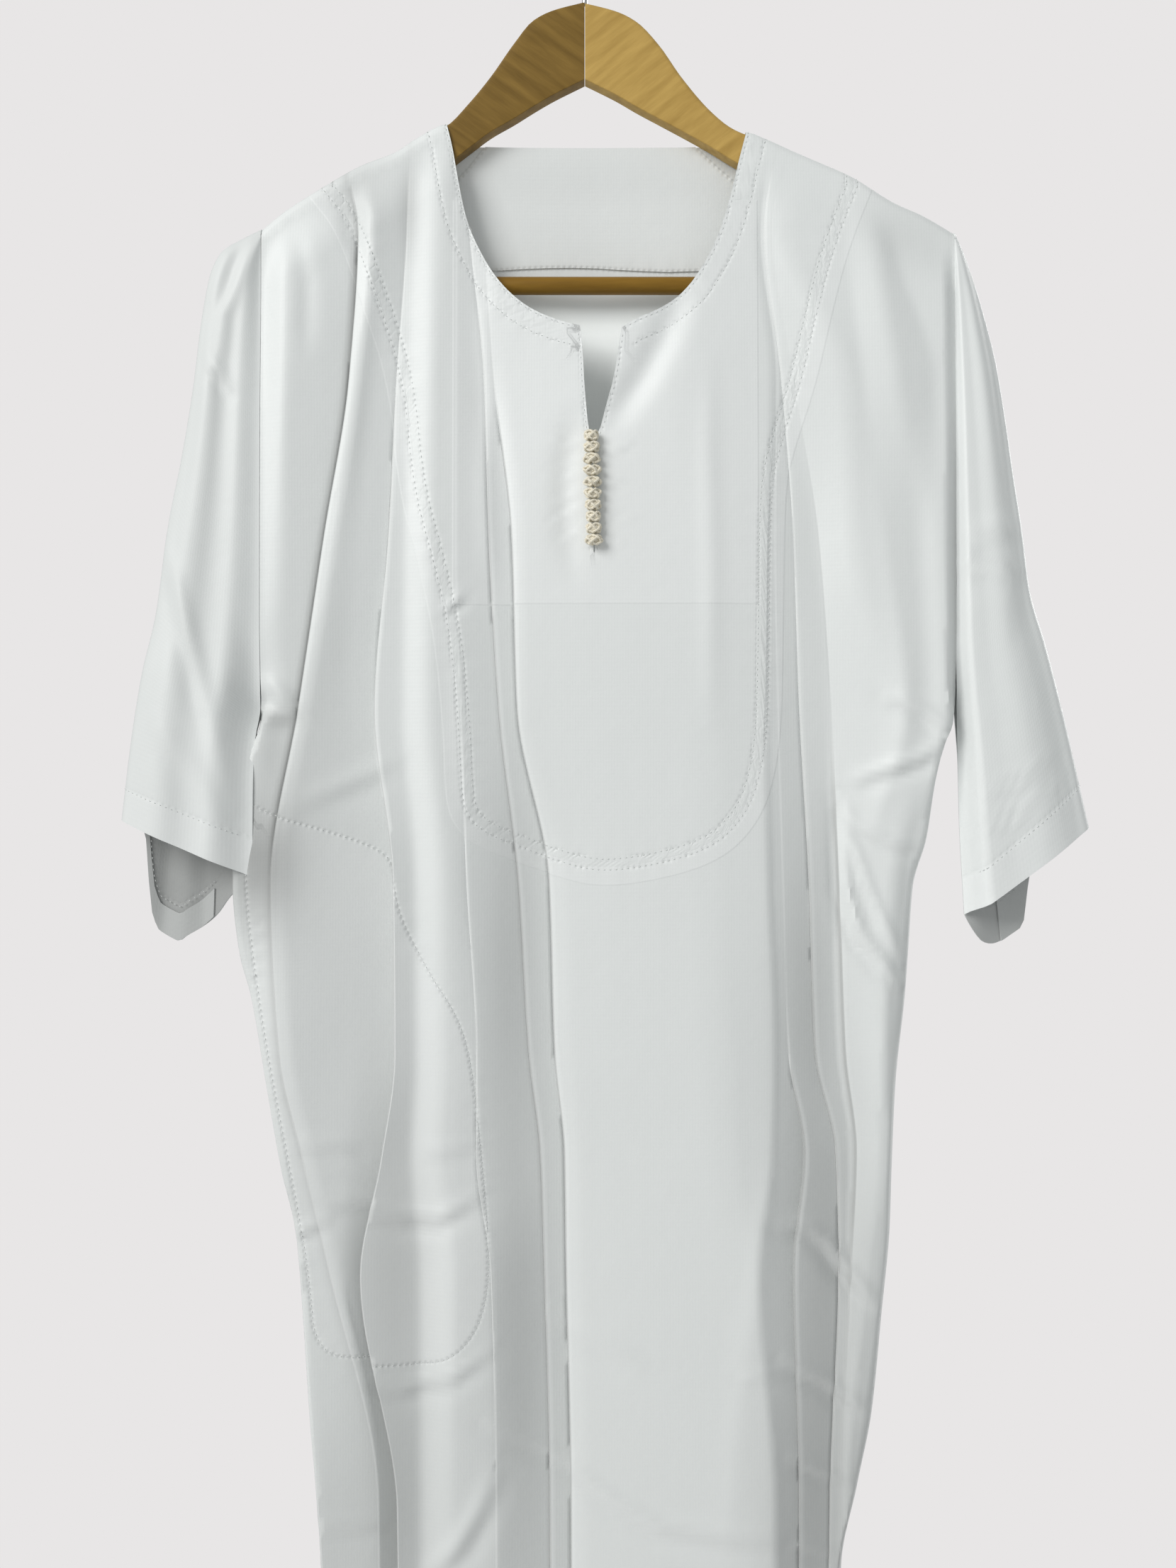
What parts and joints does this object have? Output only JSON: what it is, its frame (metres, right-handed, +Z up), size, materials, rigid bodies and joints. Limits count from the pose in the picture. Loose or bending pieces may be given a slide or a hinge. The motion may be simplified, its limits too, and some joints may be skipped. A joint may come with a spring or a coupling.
{
  "type": "djellaba on a clothes hanger",
  "caption": "Short-sleeved white djellaba with a U-shaped front bib, a neck slit closed by knotted cord buttons and a side pocket, hanging on a wooden clothes hanger.",
  "frame": {"origin": "seat of the hanger's hook: the highest point inside its crook, where it rests on a rail", "axes": "+Z up, +X to the viewer's right, -Y towards the viewer in front of the garment"},
  "size_m": [0.5985, 0.0701, 1.4775],
  "materials": {
    "cloth": "smooth white woven cloth with a soft sheen",
    "facing": "plain white lining cloth",
    "cord": "ivory braided cord",
    "wood": "clear varnished pine",
    "steel": "plain bright wire"
  },
  "bodies": {
    "root": {"front_bib": "cloth", "front_body": "cloth", "back_body": "cloth", "front_neck_facing": "facing", "back_neck_facing": "facing", "sleeve_left": "cloth", "sleeve_right": "cloth", "cuff_hem_left": "cloth", "cuff_hem_right": "cloth", "pocket_bag": "facing", "knot_01": "cord", "knot_02": "cord", "knot_03": "cord", "knot_04": "cord", "knot_05": "cord", "knot_06": "cord", "knot_07": "cord", "knot_08": "cord", "knot_09": "cord", "knot_10": "cord", "hanger_arm_left": "wood", "hanger_arm_right": "wood", "hanger_bar": "wood", "hanger_hook": "steel"}
  },
  "joints": []
}
